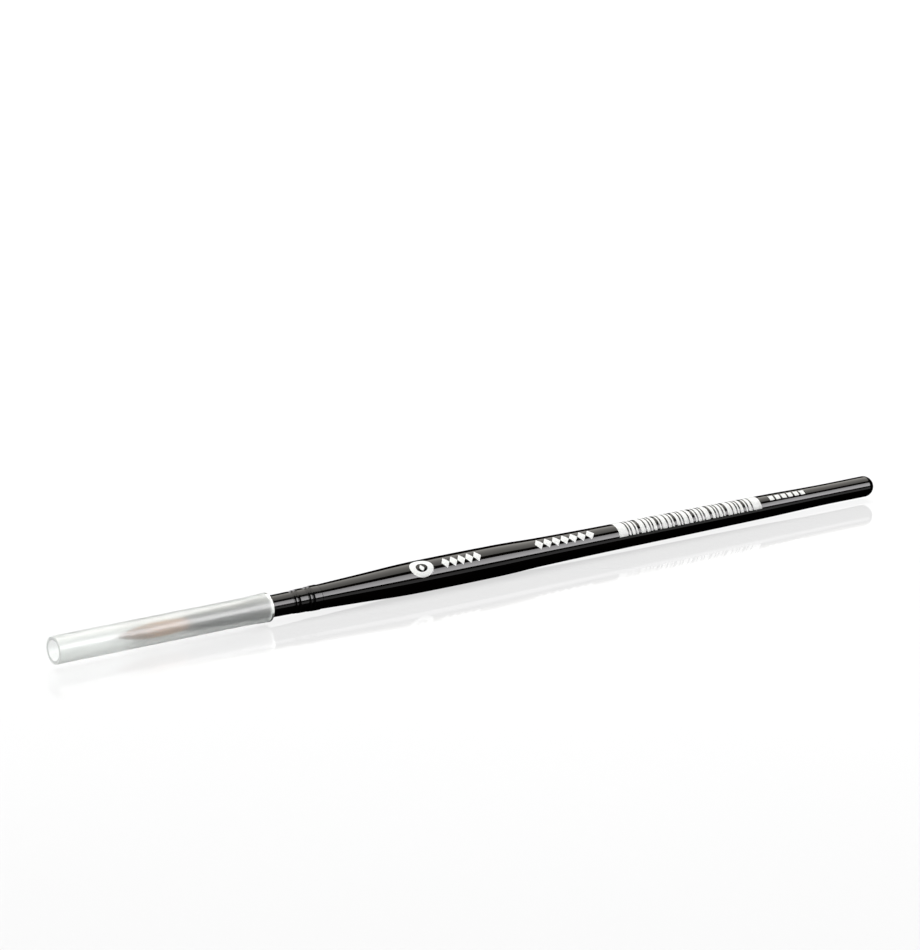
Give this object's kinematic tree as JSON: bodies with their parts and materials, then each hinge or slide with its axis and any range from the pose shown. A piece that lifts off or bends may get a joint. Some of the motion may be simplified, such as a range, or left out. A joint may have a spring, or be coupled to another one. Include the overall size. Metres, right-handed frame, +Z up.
{
  "type": "fine detail brush",
  "caption": "Short-handled round sable brush: pointed hair tuft, tapered crimped black ferrule, gloss black lacquered wooden handle, and a milky travel tube that pulls off.",
  "frame": {"origin": "centre of the bounding box in plan, on the surface that the handle's belly rests on", "axes": "+X along the brush from the travel tube to the handle's tail, +Z up"},
  "size_m": [0.195, 0.0062, 0.0062],
  "materials": {
    "milky_polyethylene": "milky translucent, satin",
    "sable_hair": "natural red-brown hair with a dark tip",
    "linen_thread": "matt waxed thread",
    "amber_resin": "set resin",
    "black_metal": "gloss black",
    "cream_glue": "dried glue",
    "black_lacquer": "gloss black lacquer over turned hardwood",
    "white_ink": "thin satin white printing on the lacquer"
  },
  "bodies": {
    "brush": {"handle": "black_lacquer", "ferrule": "black_metal", "hair_tuft": "sable_hair", "binding_thread": "linen_thread", "resin_plug": "amber_resin", "tenon_adhesive": "cream_glue"},
    "travel_tube": {"protective_tube": "milky_polyethylene"}
  },
  "joints": [
    {"name": "tube_pull_off", "type": "slide", "parent": "brush", "child": "travel_tube", "axis": [-1, 0, 0], "range_m": [0, 0.045]}
  ]
}
